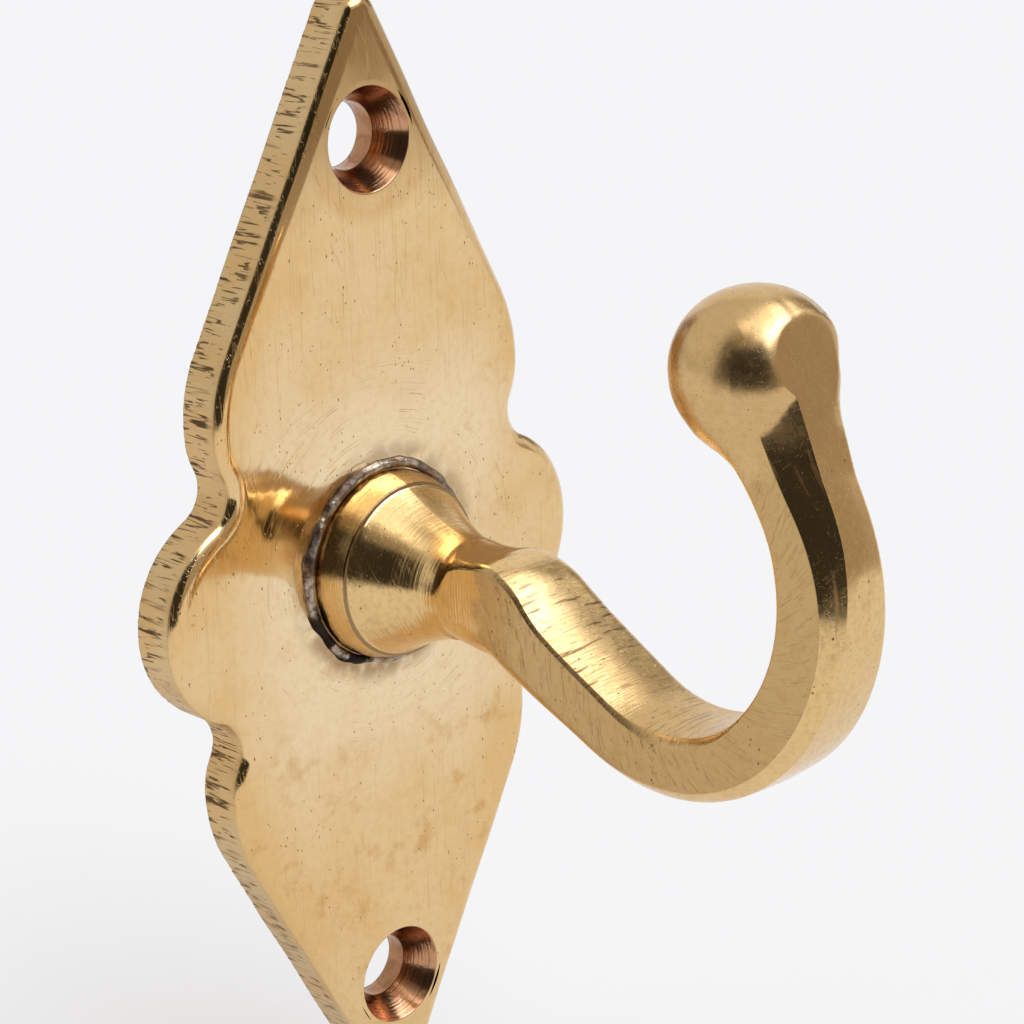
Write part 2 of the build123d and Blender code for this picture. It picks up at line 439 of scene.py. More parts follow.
arm = {
    "footHeight": plate["spigotHeight"],
    "spigotRadius": 2.45,
    "peenRadius": 3.25,
    "footRadius": 6.5,
    "footLand": 0.9,
    "footLength": 2.5,
    "footFrontRadius": 6.0,
    "bellStep": 0.15,
    "bellLength": 6.0,
    "bell": ((0, 5.84), (0.7, 5.42), (1.7, 4.88), (2.7, 4.4), (3.7, 4.0), (4.6, 3.7), (5.4, 3.54), (6, 3.5)),
    "neckReach": 3.8,
    "knuckleBend": (5.0, 28.0),  # radius, and how far it turns
    "armRun": 8.9,
    "throatBend": (11.0, -77.0),
    "riseBend": (12.0, -73.0),
    "lipRun": 8.7,
    "ringSpacing": 0.28,
    "ballRadius": 4.97,
    "flare": 3.4,
    "ballSwell": 0.41,  # how far the ball's far outer quarter stands proud
    "ballNeck": 3.0,  # the ball and the lip run together over about this length
    # sizes of the section at places along the arm, measured from the end of the bell
    "halfWidth": ((0, 3.5), (4, 3.5), (9, 3.7), (15, 3.6), (24, 3.5), (36, 3.0), (42, 2.8), (48, 2.8),
                  (54, 3.3)),
    "innerDepth": ((0, 3.5), (1.5, 3.35), (3, 3.4), (4.3, 3.6), (5.6, 3.3), (7, 2.8), (9, 2.4), (15, 2.2),
                   (28, 2.1), (40, 2.3), (48, 2.0), (51, 2.4)),
    "outerDepth": ((0, 3.35), (4, 3.35), (7, 3.0), (9, 2.7), (15, 2.3), (34, 2.05), (42, 2.3), (46, 2.55),
                   (50, 3.4), (56, 5.0)),
    # each bevel is this far in from the sharp corner, measured along both faces
    "innerBevel": ((0, 2.05), (1.5, 0.6), (5, 0.32), (9, 0.22), (16, 0.28), (20, 0.5), (25, 0.5), (30, 0.15),
                   (44, 0.3)),
    "innerFarBevel": ((0, 2.05), (3, 1.9), (5, 1.5), (8, 1.0), (18, 0.8), (28, 0.4), (36, 0.2), (44, 0.3)),
    "outerBevel": ((0, 2.05), (4, 1.5), (9, 1.0), (16, 0.9), (36, 0.95), (44, 1.6), (50, 2.3), (54, 2.35)),
    "outerBevelAcross": ((0, 2.05), (4, 1.5), (9, 1.0), (16, 0.9), (36, 0.95), (44, 1.55), (54, 1.4)),
    "farBevel": ((0, 2.05), (4, 1.5), (9, 1.0), (16, 0.85), (30, 0.9), (45, 1.1), (51, 0.9)),
    # radius of the rounding at the ends of each bevel
    "innerRound": ((0, 3.5), (1.5, 0.7), (4.5, 0.35), (7, 0.12), (16, 0.15), (20, 0.7), (26, 0.6), (32, 0.25),
                   (44, 0.5)),
    "innerFarRound": ((0, 3.5), (3, 2.8), (5, 2.2), (9, 1.6), (20, 1.3), (30, 0.5), (36, 0.25), (44, 0.5)),
    "outerRound": ((0, 3.5), (3, 2.6), (8, 1.6), (18, 1.2), (27, 0.5), (31, 0.12), (44, 0.12)),
    "farRound": ((0, 3.5), (3, 2.6), (8, 1.6), (18, 1.2), (27, 0.7), (36, 0.4), (44, 0.4)),
    # how far the middle of the face towards the throat stands out, as a share of its width
    "innerCrown": ((0, 0.02), (4, 0.03), (6, 0.05), (18, 0.05), (28, 0.02)),
}


def armLine():
    # straight runs and bends from the end of the bell to the ball's centre
    bellEnd = -(plate["thickness"] + arm["footLength"] + arm["bellLength"])
    here, heading, travelled = Vector((bellEnd, arm["footHeight"])), 0.0, 0.0
    stations = []
    for size, turn in ((arm["neckReach"], 0), arm["knuckleBend"], (arm["armRun"], 0), arm["throatBend"],
                       arm["riseBend"], (arm["lipRun"], 0)):
        length = abs(math.radians(turn)) * size if turn else size
        count = round(length / arm["ringSpacing"])
        for step in range(count):
            stations.append((travelled, here.copy(), heading))
            stride = 2 * size * math.sin(math.radians(abs(turn) / count) / 2) if turn else length / count
            heading += turn / count / 2
            here = here + stride * forward(heading)
            heading += turn / count / 2
            travelled += length / count
    stations.append((travelled, here.copy(), heading))
    return stations


def forward(heading):
    return Vector((-math.cos(math.radians(heading)), -math.sin(math.radians(heading))))


faceSteps = 5
roundSteps = 6
faceCrown = 0.02  # how far the middle of a face stands out, as a share of its width


def sectionPoints(width, inner, outer, innerBevel, innerFarBevel, outerBevel, outerBevelAcross, farBevel,
                  innerRound, innerFarRound, outerRound, farRound, innerCrown):
    # an eight-sided section with rounded corners, as (sideways, inwards) pairs: inner face, bevel on the
    # -X side, side, bevel, outer face, and back up the +X side
    corners = [(width - innerFarBevel, inner, innerFarRound), (-width + innerBevel, inner, innerRound),
               (-width, inner - innerBevel, innerRound), (-width, -outer + outerBevel, outerRound),
               (-width + outerBevelAcross, -outer, outerRound), (width - farBevel, -outer, farRound),
               (width, -outer + farBevel, farRound), (width, inner - innerFarBevel, innerFarRound)]
    rounded = []
    for count in range(8):
        here = Vector(corners[count][:2])
        before = Vector(corners[count - 1][:2]) - here
        after = Vector(corners[(count + 1) % 8][:2]) - here
        turn = math.pi - before.angle(after)
        reach = min(corners[count][2] * math.tan(turn / 2), 0.499 * before.length, 0.499 * after.length)
        start, end = here + before.normalized() * reach, here + after.normalized() * reach
        radius = reach / math.tan(turn / 2)
        centre = here + (before.normalized() + after.normalized()).normalized() * radius / math.cos(turn / 2)
        arc = []
        for step in range(roundSteps + 1):
            share = math.sin(turn * step / roundSteps), math.sin(turn * (1 - step / roundSteps))
            spoke = ((start - centre) * share[1] + (end - centre) * share[0]) / math.sin(turn)
            arc.append(centre + spoke)
        rounded.append(arc)
    points = []
    for count in range(8):
        before, after = rounded[count - 1][-1], rounded[count][0]
        outward = Vector((after.y - before.y, before.x - after.x))
        outward = -outward.normalized() if outward.dot(before + after) < 0 else outward.normalized()
        crown = (innerCrown if count == 1 else faceCrown) * (after - before).length
        for step in range(1, faceSteps):
            share = step / faceSteps
            points.append(before.lerp(after, share) + outward * crown * 4 * share * (1 - share))
        points += rounded[count]
    return points


sectionSizes = ("halfWidth", "innerDepth", "outerDepth", "innerBevel", "innerFarBevel", "outerBevel",
                "outerBevelAcross", "farBevel", "innerRound", "innerFarRound", "outerRound", "farRound",
                "innerCrown")


def armSection(travelled):
    return sectionPoints(*[along(arm[name], travelled) for name in sectionSizes])


def ballReach(spoke, beyond):
    # how far the ball reaches from the lip's axis towards a unit spoke, at a place along that axis
    reach = 0.0
    size = arm["ballRadius"]
    for step in range(4):
        reach = math.sqrt(max(0.0, size ** 2 - beyond ** 2))
        corner = max(0.0, 2 * spoke.x * -spoke.y) * (reach / size) ** 2 if spoke.x > 0 > spoke.y else 0.0
        size = arm["ballRadius"] + arm["ballSwell"] * corner * rise(-0.45, 0.15, beyond / size)
    return reach


def ballSection(section, beyond, flat):
    # the lip's section where the ball grows out of it; beyond is the place along the axis from the ball's
    # centre, and flat is how far out the filed outer face is there
    flare = rise(-arm["ballRadius"] - arm["ballNeck"], -1.0, beyond)
    soft = between(0.9, 0.05, rise(-2.5, -0.3, beyond))
    grown = []
    for point in steerCrease(section, beyond, flat):
        spoke = point.normalized()
        filed = 1 - rise(-0.45, 0.3, spoke.y) if spoke.x < 0 else 0.0
        size = ballReach(spoke, beyond)
        if beyond < 0:
            reach = between(point.length, arm["flare"], flare * (1 - 0.97 * filed))
            blend = soft * math.exp(-abs(reach - size) / soft) * 0.5
            size = max(reach, size) + between(0.1, 1, 1 - filed) * blend
            if spoke.x < 0:
                # the near bevel runs on a little into the ball, farthest beside the filed face
                turn = math.degrees(math.atan2(-spoke.x, -spoke.y))
                end = -2.6 - 1.4 * (turn - 30) / 36
                size = between(reach, size, rise(end - 0.25, end + 0.35, beyond))
        if spoke.y < 0:
            size = softLimit(size, flat / -spoke.y, between(0.01, 0.08, rise(-2, 0, beyond)))
        grown.append(spoke * size)
    return grown


def softLimit(value, limit, softness):
    # the smaller of the two, with a small rounding where they are alike
    lower = min(value, limit)
    return lower - softness * math.log(1 + math.exp(-min(30, abs(value - limit) / softness)))


def steerCrease(section, beyond, flat):
    # the section's outer corners follow the edge of the filed face on the ball, so that the edge stays crisp
    radius = math.sqrt(max(0.01, arm["ballRadius"] ** 2 - beyond ** 2))
    edge = math.acos(min(0.995, flat / radius))
    steered = []
    for point in section:
        side = -1 if point.x < 0 else 1
        share = rise(-2.9, -2.3, beyond) if side < 0 else rise(-4.4, -1.2, beyond)
        angle = math.atan2(abs(point.x), -point.y)
        corner = cornerAngle(section, side)
        target = between(corner, edge, share)
        if angle < corner:
            angle *= target / corner
        else:
            angle = math.pi - (math.pi - angle) * (math.pi - target) / (math.pi - corner)
        steered.append(Vector((side * math.sin(angle), -math.cos(angle))) * point.length)
    return steered


def cornerAngle(section, side):
    # the angle, from the outer side, of the middle of the rounding between the outer face and its bevel
    block = faceSteps - 1 + roundSteps + 1
    place = (4 if side < 0 else 5) * block + faceSteps - 1 + roundSteps // 2
    return math.atan2(abs(section[place].x), -section[place].y)


def armRings():
    rings, flow = [], []
    stations = armLine()
    total = stations[-1][0]
    radius = arm["ballRadius"]
    for travelled, here, heading in stations:
        section = armSection(travelled)
        beyond = travelled - total
        if beyond > -radius - arm["ballNeck"]:
            section = ballSection(section, beyond, along(arm["outerDepth"], travelled))
        rings.append(placeSection(section, here, heading))
        flow += [(point.x, travelled, point.y) for point in section]
    travelled, here, heading = stations[-1]
    steps = 30
    for step in range(1, steps):
        beyond = radius * math.sin(math.pi / 2 * step / steps)
        flat = along(arm["outerDepth"], total + beyond) if beyond < 2 else radius
        section = ballSection(armSection(total), beyond, flat)
        rings.append(placeSection(section, here + forward(heading) * beyond, heading))
        flow += [(point.x, total + beyond, point.y) for point in section]
    pole = here + forward(heading) * radius
    return rings, flow, Vector((0, pole.x, pole.y))


def placeSection(section, here, heading):
    # a section square to the arm's line at a place on it
    inward = Vector((0, -math.sin(math.radians(heading)), math.cos(math.radians(heading))))
    return [Vector((point.x, here.x, here.y)) + inward * point.y for point in section]


def turnedRings():
    front = plate["thickness"]
    footFront = front + arm["footLength"]
    foot, peen, spigot = arm["footRadius"], arm["peenRadius"], arm["spigotRadius"]
    landEnd = front + arm["footLand"]
    profile = [(2.0, 0), (peen - 0.2, 0), (peen, 0.05), (spigot, 0.8), (spigot, front), (foot - 0.4, front),
               (foot, front + 0.02), (foot, front + 0.3), (foot, landEnd - 0.1), (foot - 0.05, landEnd + 0.1)]
    for share in (0.25, 0.5, 0.75, 0.9):
        profile.append((between(foot, arm["footFrontRadius"], share), between(landEnd, footFront, share)))
    profile += [(arm["footFrontRadius"], footFront - 0.03), (arm["footFrontRadius"] - 0.04, footFront)]
    startRadius = arm["footFrontRadius"] - arm["bellStep"]
    profile.append((startRadius + 0.03, footFront))
    run = arm["bellLength"]
    steps = 24
    for step in range(steps):
        profile.append((along(arm["bell"], run * step / steps), footFront + run * step / steps))
    spokes = [point.normalized() for point in armSection(0)]
    rings, flow = [], []
    for radius, depth in profile:
        rings.append([Vector((spoke.x * radius, -depth, arm["footHeight"] + spoke.y * radius))
                      for spoke in spokes])
        flow += [(spoke.x * radius, depth - footFront - run, spoke.y * radius) for spoke in spokes]
    return rings, flow


def buildHookArm(material):
    turned, turnedFlow = turnedRings()
    bent, bentFlow, pole = armRings()
    piece = startPiece("hookArm", turned[0])
    growRings(piece, turned[1:] + bent)
    closePole(piece, pole, len(turned[0]))
    selectEdges(piece, lambda edge: edge.is_boundary)
    closePole(piece, Vector((0, 0, arm["footHeight"])), len(turned[0]))
    finishPiece(piece, "hook_arm", (material,), turnedFlow + bentFlow)
    storeVectors(piece, "faces", [(0, 0, 0)] * len(turnedFlow) + sectionFaces() * len(bent))
    return piece


def sectionFaces():
    # for each point of a section: whether it is on the near bevel of the throat side, on a flat side, and on
    # the near bevel of the outer side
    faces = []
    for count in range(8):
        for step in range(faceSteps + roundSteps):
            face = (count + (step > faceSteps + roundSteps // 2 - 1)) % 8
            faces.append((float(face == 2), float(face in (3, 7)), float(face == 4)))
    return faces


# ---- braze round the foot ----

braze = {
    "innerRadius": 6.55,
    "width": 0.95,
    "height": 0.65,
}


def buildSolderRing(material):
    count = 360
    rings = []
    profileSteps = 12
    for step in range(profileSteps):
        angle = math.pi * step / (profileSteps - 1)
        ring = []
        for place in range(count):
            around = 2 * math.pi * place / count
            spoke = Vector((math.sin(around), math.cos(around), 0))
            lump = 0.72 + 0.34 * noise.noise(spoke * 2.2)
            lump += 0.16 * noise.noise(spoke * 7 + Vector((0, 0, angle)))
            lump = min(1.0, max(0.35, lump))
            radius = braze["innerRadius"] + braze["width"] * (1 - math.cos(angle)) / 2 * lump
            depth = plate["thickness"] + braze["height"] * math.sin(angle) * lump
            ring.append(Vector((-radius * spoke.x, -depth, arm["footHeight"] + radius * spoke.y)))
        rings.append(ring)
    piece = startPiece("solderRing", rings[0])
    growRings(piece, rings[1:])
    selectEdges(piece, lambda edge: edge.is_boundary)
    bpy.ops.mesh.bridge_edge_loops()
    finishPiece(piece, "solder_ring", (material,))
    return piece


# ---- effects that several materials use ----

def startGroup(name, inputs):
    # an input whose value is None is a vector, and the others are numbers
    group = bpy.data.node_groups.new(name, "ShaderNodeTree")
    for socket, value in inputs.items():
        kind = "NodeSocketVector" if value is None else "NodeSocketFloat"
        made = group.interface.new_socket(socket, in_out="INPUT", socket_type=kind)
        if value is not None:
            made.default_value = value
    return group, addNode(group, "NodeGroupInput").outputs


def endGroup(group, results):
    for name in results:
        group.interface.new_socket(name, in_out="OUTPUT", socket_type="NodeSocketFloat")
    addNode(group, "NodeGroupOutput", results)
    return group


def useGroup(tree, group, **inputs):
    return addNode(tree, "ShaderNodeGroup", inputs, node_tree=group).outputs


def stretched(tree, vector, across, along):
    # the vector in units of the marks' own width and length, which runs along Z
    scale = addNode(tree, "ShaderNodeCombineXYZ", {0: across, 1: across, 2: along}).outputs[0]
    return addNode(tree, "ShaderNodeVectorMath", {0: vector, 1: scale}, operation="MULTIPLY").outputs[0]


def cloud(tree, vector, scale=1.0, detail=2.0, roughness=0.5, distortion=0.0):
    node = addNode(tree, "ShaderNodeTexNoise", {"Vector": vector, "Scale": scale, "Detail": detail,
                   "Roughness": roughness, "Distortion": distortion})
    return node.outputs["Fac"]


def fineScratchesGroup():
    # thin lines along Z, in patches
    group, given = startGroup("fineScratches", {"Vector": None, "Across": 4.0, "Along": 0.2, "Width": 0.02,
                                                "Share": 0.5})
    straight = times(group, given["Along"], 0.35)
    lines = cloud(group, stretched(group, given["Vector"], given["Across"], straight), detail=1.0)
    lines = maths(group, "ABSOLUTE", maths(group, "SUBTRACT", lines, 0.5))
    lines = stepUp(group, lines, given["Width"], 0.0)
    patches = cloud(group, stretched(group, given["Vector"], times(group, given["Across"], 0.6),
                                     given["Along"]), detail=2.0)
    limit = maths(group, "SUBTRACT", 0.9, times(group, given["Share"], 0.8))
    patches = stepUp(group, patches, limit, maths(group, "ADD", limit, 0.06))
    return endGroup(group, {"Mask": times(group, lines, patches)})


def castPitsGroup():
    # small holes left by the casting, in clusters
    group, given = startGroup("castPits", {"Vector": None, "Across": 1.5, "Along": 1.5, "Radius": 0.3,
                                           "Share": 0.3})
    place = stretched(group, given["Vector"], given["Across"], given["Along"])
    cells = addNode(group, "ShaderNodeTexVoronoi", {"Vector": place, "Scale": 1.0})
    chance = addNode(group, "ShaderNodeSeparateColor", {0: cells.outputs["Color"]}).outputs
    clusters = stepUp(group, cloud(group, given["Vector"], 0.22), 0.42, 0.62)
    share = times(group, given["Share"], clusters)
    size = times(group, given["Radius"], maths(group, "ADD", chance[1], 0.25))
    mask = stepUp(group, cells.outputs["Distance"], size, times(group, size, 0.3))
    kept = maths(group, "LESS_THAN", chance[0], share)
    return endGroup(group, {"Mask": times(group, mask, kept)})


def tarnishCloudsGroup():
    group, given = startGroup("tarnishClouds", {"Vector": None, "Scale": 0.2, "Low": 0.45, "High": 0.65})
    value = cloud(group, given["Vector"], given["Scale"], detail=6.0, roughness=0.62)
    return endGroup(group, {"Mask": stepUp(group, value, given["Low"], given["High"])})


def brushedGroup():
    # fine lines along Z all over, some of them dark
    group, given = startGroup("brushed", {"Vector": None, "Across": 6.0, "Along": 0.3, "Dark": 0.62})
    place = stretched(group, given["Vector"], given["Across"], given["Along"])
    height = cloud(group, place, detail=3.0, roughness=0.6)
    dark = cloud(group, place, 0.7, detail=2.0)
    dark = stepUp(group, dark, given["Dark"], maths(group, "ADD", given["Dark"], 0.08))
    return endGroup(group, {"Height": height, "Dark": dark})


fineScratches = fineScratchesGroup()
castPits = castPitsGroup()
tarnishClouds = tarnishCloudsGroup()
brushed = brushedGroup()


# ---- materials ----

def startMetal(name):
    material = bpy.data.materials.new(name)
    material.use_nodes = True
    tree = material.node_tree
    shader = tree.nodes["Principled BSDF"]
    shader.inputs["Metallic"].default_value = 1
    coordinates = addNode(tree, "ShaderNodeTexCoord").outputs["Object"]
    place = addNode(tree, "ShaderNodeVectorMath", {0: coordinates, "Scale": 1 / mm}, operation="SCALE")
    return material, tree, shader, place.outputs[0]


def shadesOf(finish):
    # the finish's colours, with the alpha that a node takes
    return {name: (*value, 1) for name, value in finish.items() if isinstance(value, tuple)}


def flowPlace(tree):
    return addNode(tree, "ShaderNodeAttribute", attribute_name="flow").outputs["Vector"]


def parts(tree, vector):
    return addNode(tree, "ShaderNodeSeparateXYZ", {0: vector}).outputs


def joined(tree, x, y, z):
    return addNode(tree, "ShaderNodeCombineXYZ", {0: x, 1: y, 2: z}).outputs[0]


def distance(tree, x, z):
    node = addNode(tree, "ShaderNodeVectorMath", {0: joined(tree, x, 0.0, z)}, operation="LENGTH")
    return node.outputs["Value"]


def weighed(tree, *pairs, plus=0.0):
    # the sum of (value, weight) pairs and a fixed number; a weight may be another node's output
    total = plus
    for value, weight in pairs:
        total = maths(tree, "MULTIPLY_ADD", value, weight, total)
    return total


def roughen(tree, shader, height, depth, roughness):
    # height in millimetres, and the roughness that goes with it
    bump = addNode(tree, "ShaderNodeBump", {"Height": height, "Distance": mm, "Strength": depth})
    tree.links.new(bump.outputs["Normal"], shader.inputs["Normal"])
    tree.links.new(roughness, shader.inputs["Roughness"])


plateFinish = {
    "cream": (0.88, 0.70, 0.44),
    "golden": (0.78, 0.52, 0.23),
    "tarnish": (0.66, 0.39, 0.14),
    "olive": (0.46, 0.29, 0.12),
    "pitAndShade": (0.22, 0.11, 0.04),
    "wall": (0.68, 0.48, 0.24),
    "wallDark": (0.17, 0.10, 0.045),
    "roughness": 0.055,
    "wallRoughness": 0.28,
}


def plateMaterial():
    material, tree, shader, place = startMetal("plateBrass")
    x, y, z = parts(tree, place)
    flow = flowPlace(tree)
    shade = shadesOf(plateFinish)

    # the front: cream round the foot, golden above and below it, a painted olive reflection near the top tip,
    # and tarnish
    lower = stepUp(tree, z, -7.0, -19.0)
    upper = stepUp(tree, z, 8.0, 20.0)
    clouds = useGroup(tree, tarnishClouds, Vector=place, Scale=0.13, Low=0.40, High=0.72)["Mask"]
    spots = useGroup(tree, tarnishClouds, Vector=place, Scale=0.42, Low=0.52, High=0.74)["Mask"]
    edges = stepUp(tree, maths(tree, "ABSOLUTE", x), 7.0, 15.0)
    golden = weighed(tree, (clouds, 0.45), (lower, 0.7), (upper, 0.6), (edges, 0.65))
    colour = mixColours(tree, maths(tree, "MINIMUM", golden, 1.0), shade["cream"], shade["golden"])
    heavy = weighed(tree, (lower, 0.5), (stepUp(tree, z, 4.0, -10.0), 0.25),
                    (stepUp(tree, x, 2.0, 14.0), 0.4), plus=0.1)
    heavy = times(tree, spots, heavy)
    colour = mixColours(tree, heavy, colour, shade["tarnish"])
    # painted reflection: the olive tone towards the top tip is a reflection laid into the colour
    tip = stepUp(tree, maths(tree, "MULTIPLY_ADD", clouds, 1.5, z), 25.0, 32.0)
    colour = tinted(tree, colour, shade["olive"], tip, 0.85)
    # a painted reflection: a dark arc round the lower side of the upper screw hole, in the tarnish colour
    underHole = maths(tree, "SUBTRACT", z, plate["screwSpacing"] / 2)
    reflectionArc = band(tree, distance(tree, x, underHole), 4.6, 5.1, 0.7)
    reflectionArc = times(tree, reflectionArc, stepUp(tree, underHole, 1.0, -3.0))
    colour = tinted(tree, colour, shade["tarnish"], reflectionArc, 0.55)

    # curved scratches round the foot, and a dark band hugging the braze ring: painted shade at the joint,
    # with some tarnish
    footZ = maths(tree, "SUBTRACT", z, arm["footHeight"])
    foot = distance(tree, x, footZ)
    angle = times(tree, maths(tree, "ARCTAN2", footZ, times(tree, x, -1.0)), 10.0)
    curved = useGroup(tree, fineScratches, Vector=joined(tree, foot, 0.0, angle), Across=3.0, Along=0.3,
                      Width=0.02, Share=0.5)["Mask"]
    curved = times(tree, curved, stepUp(tree, cloud(tree, place, 0.22, detail=3.0), 0.40, 0.58))
    nearFoot = stepUp(tree, foot, 16.0, 11.0)
    # painted shade with some tarnish: dark clouds just outside the braze ring, more of them below it
    shadeAndBurn = weighed(tree, (stepUp(tree, z, 0.0, -5.0), 0.2), plus=0.5)
    shadeAndBurn = times(tree, stepUp(tree, foot, 9.0, 7.4), shadeAndBurn)
    shadeAndBurn = times(tree, shadeAndBurn, stepUp(tree, cloud(tree, place, 0.5, detail=4.0), 0.32, 0.58))
    colour = mixColours(tree, shadeAndBurn, colour, shade["pitAndShade"])

    upright = useGroup(tree, fineScratches, Vector=place, Across=4.0, Along=0.16, Width=0.02,
                       Share=0.5)["Mask"]
    turned = addNode(tree, "ShaderNodeMapping", {"Vector": place, "Rotation": (0, math.radians(24), 0)})
    slanted = useGroup(tree, fineScratches, Vector=turned.outputs[0], Across=4.0, Along=0.25, Width=0.016,
                       Share=0.4)["Mask"]
    scratches = maths(tree, "MAXIMUM", upright, times(tree, slanted, 0.8))
    scratches = addNode(tree, "ShaderNodeMix", {"Factor": nearFoot, "A": scratches, "B": curved})
    scratches = scratches.outputs["Result"]
    pits = useGroup(tree, castPits, Vector=place, Across=2.2, Along=1.0, Radius=0.17, Share=0.35)["Mask"]
    specks = useGroup(tree, castPits, Vector=place, Across=5.0, Along=3.5, Radius=0.25, Share=0.16)["Mask"]
    pits = maths(tree, "MAXIMUM", pits, specks)
    mottle = stepUp(tree, cloud(tree, place, 1.8, detail=5.0, roughness=0.6), 0.42, 0.74)
    colour = tinted(tree, colour, shade["tarnish"], mottle, 0.2)
    colour = tinted(tree, colour, shade["tarnish"], scratches, 0.45)
    colour = tinted(tree, colour, shade["pitAndShade"], pits, 0.85)

    # faint turned rings round the foot, evenly spaced and with some wander
    turns = times(tree, foot, 2 * math.pi / 0.9)
    rings = maths(tree, "SINE", maths(tree, "MULTIPLY_ADD", cloud(tree, place, 0.5), 5.0, turns))
    rings = times(tree, rings, band(tree, foot, 9.0, 15.0, 2.5))
    waves = cloud(tree, place, 0.16, detail=1.0)
    fine = addNode(tree, "ShaderNodeVectorMath", {0: place, 1: (6.0, 6.0, 1.2)}, operation="MULTIPLY")
    grain = cloud(tree, fine.outputs[0], detail=2.0)
    frontHeight = weighed(tree, (scratches, -0.006), (pits, -0.02), (rings, 0.0008), (waves, 0.06),
                          (grain, 0.0012))
    frontRoughness = weighed(tree, (scratches, 0.15), (clouds, 0.05), (heavy, 0.15), (pits, 0.4),
                             (grain, 0.04), plus=plateFinish["roughness"])

    # the rim: file marks across its thickness, dark where dirt has stayed in them
    depth = times(tree, y, -1.0)
    rim = stepUp(tree, depth, 3.45, 3.25)
    filed = times(tree, rim, stepUp(tree, depth, 3.0, 2.4))
    marks = useGroup(tree, brushed, Vector=flow, Across=3.4, Along=0.35, Dark=0.60)
    grooves = useGroup(tree, fineScratches, Vector=flow, Across=3.2, Along=0.6, Width=0.06,
                       Share=0.54)["Mask"]
    dirty = stepUp(tree, cloud(tree, flow, 0.16, detail=3.0), 0.44, 0.60)
    notch = band(tree, maths(tree, "ABSOLUTE", z), 6.0, 12.0, 1.5)
    dirty = maths(tree, "MAXIMUM", dirty, notch)
    ticks = maths(tree, "MAXIMUM", times(tree, marks["Dark"], dirty), grooves)
    wallColour = tinted(tree, shade["wall"], shade["tarnish"], dirty, 0.45)
    wallColour = tinted(tree, wallColour, shade["wallDark"], ticks, filed)
    colour = mixColours(tree, rim, colour, wallColour)
    wallHeight = weighed(tree, (marks["Height"], 0.08), (grooves, -0.06))
    height = addNode(tree, "ShaderNodeMix", {"Factor": filed, "A": frontHeight, "B": wallHeight})
    wallRoughness = weighed(tree, (marks["Height"], 0.2), (ticks, 0.3), plus=plateFinish["wallRoughness"])
    roughness = addNode(tree, "ShaderNodeMix", {"Factor": rim, "A": frontRoughness, "B": wallRoughness})
    tree.links.new(colour, shader.inputs["Base Color"])
    roughen(tree, shader, height.outputs["Result"], 1.0, roughness.outputs["Result"])
    return material


armFinish = {
    "brass": (0.77, 0.535, 0.245),
    "side": (0.54, 0.355, 0.155),
    "heated": (0.66, 0.41, 0.15),
    "ball": (0.66, 0.44, 0.20),
    "tarnish": (0.50, 0.29, 0.11),
    "streak": (0.62, 0.33, 0.14),
    "pitAndShade": (0.12, 0.06, 0.025),
    "roughness": 0.13,
}


